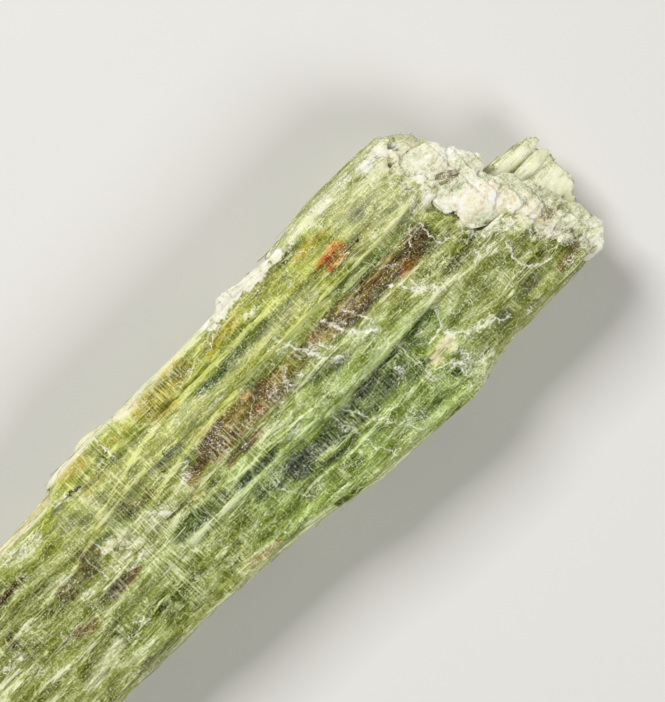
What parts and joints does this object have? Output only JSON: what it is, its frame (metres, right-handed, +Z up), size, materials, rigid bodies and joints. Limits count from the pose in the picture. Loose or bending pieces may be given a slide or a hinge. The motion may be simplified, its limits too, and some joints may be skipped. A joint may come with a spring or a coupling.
{
  "type": "green kyanite crystal",
  "caption": "Long splintery green kyanite blade, broken at both ends, with a vein of cream feldspar across its head and a patch of it on one edge; it lies on its broad cleavage face.",
  "frame": {"origin": "middle of the bounding box in X and Y, on the plane that the crystal lies on", "axes": "+X runs along the blades to the splintered head, +Y is the side with the edge crust, +Z is up, out of the front face"},
  "size_m": [0.068, 0.018, 0.0084],
  "materials": {
    "kyanite": "translucent yellow-green, vitreous on the cleavage faces, silky and splintery on the breaks",
    "feldspar": "dull cream white, sugary"
  },
  "bodies": {
    "root": {"kyanite_crystal": "kyanite", "edge_crust": "feldspar", "head_crust": "feldspar"}
  },
  "joints": []
}
